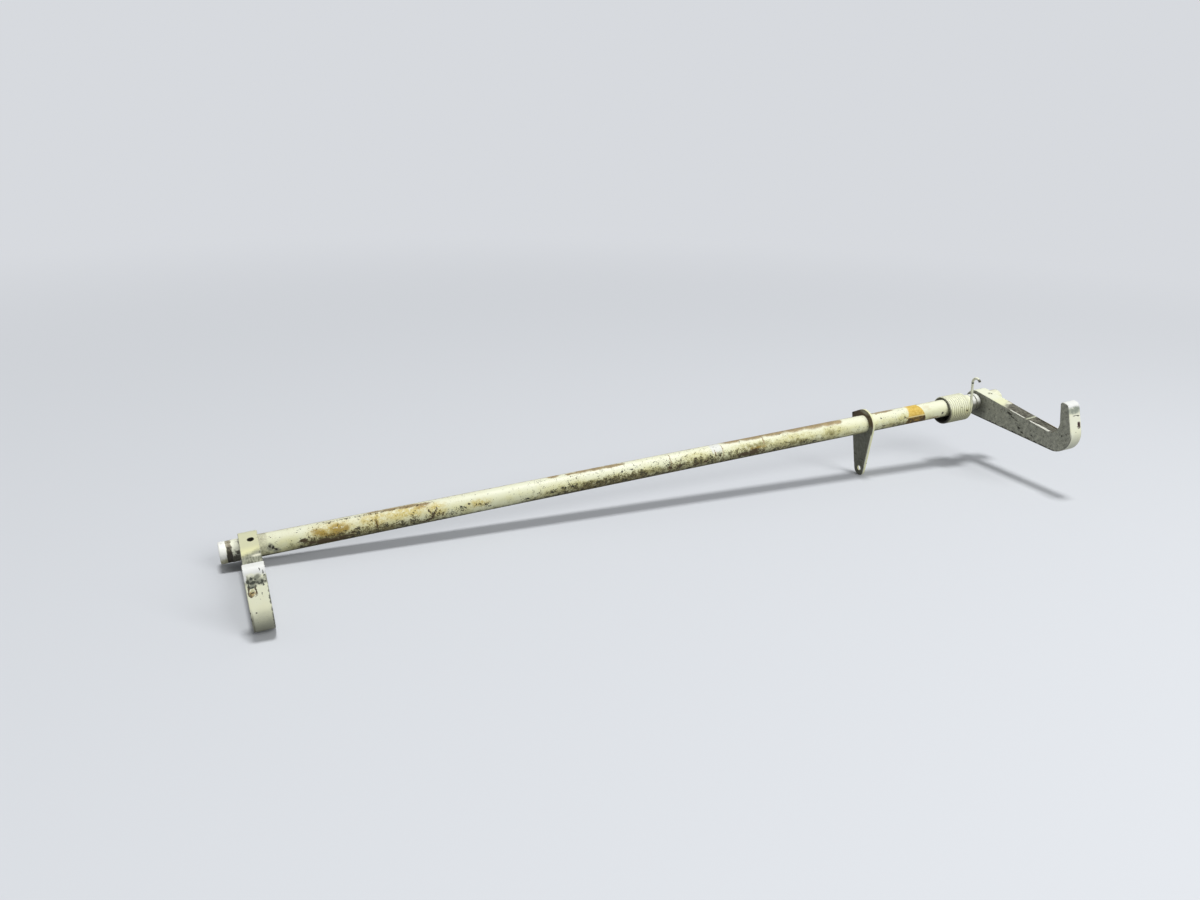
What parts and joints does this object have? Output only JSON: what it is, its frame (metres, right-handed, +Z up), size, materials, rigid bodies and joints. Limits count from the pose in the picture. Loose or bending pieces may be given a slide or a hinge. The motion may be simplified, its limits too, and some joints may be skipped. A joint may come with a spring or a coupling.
{
  "type": "torque tube",
  "caption": "Slim torque tube with a catch hook at each end, a welded lever arm and a torsion return spring hung round it near one end.",
  "frame": {"origin": "centre of the tube's left end face, on its axis", "axes": "+X runs to the right, +Z is up as the part lies at rest, -Y is the side that the hooks reach toward; the tube's axis climbs 4 degrees toward +X"},
  "size_m": [0.693, 0.1245, 0.0868],
  "materials": {
    "tube_enamel": "aged cream enamel on steel, bare and stained at the ends",
    "hook_enamel": "aged cream enamel on steel plate, worn through in the mouths",
    "arm_enamel": "aged cream enamel, grimy",
    "spring_enamel": "aged cream enamel on spring wire",
    "pin_steel": "dark bare steel"
  },
  "bodies": {
    "shaft": {"torque_tube": "tube_enamel", "left_hook": "hook_enamel", "right_hook": "hook_enamel", "left_hook_pin": "pin_steel", "right_hook_pin": "pin_steel", "lever_arm": "arm_enamel"},
    "spring": {"return_spring": "spring_enamel"}
  },
  "joints": [
    {"name": "spring_wind", "type": "hinge", "parent": "shaft", "child": "spring", "pos_m": [0.63839, 0, 0.04429], "axis": [-0.9976, 0, -0.0692], "range_deg": [0, 90], "stiffness_Nm_per_rad": 0.305, "deforming": ["return_spring"]}
  ]
}
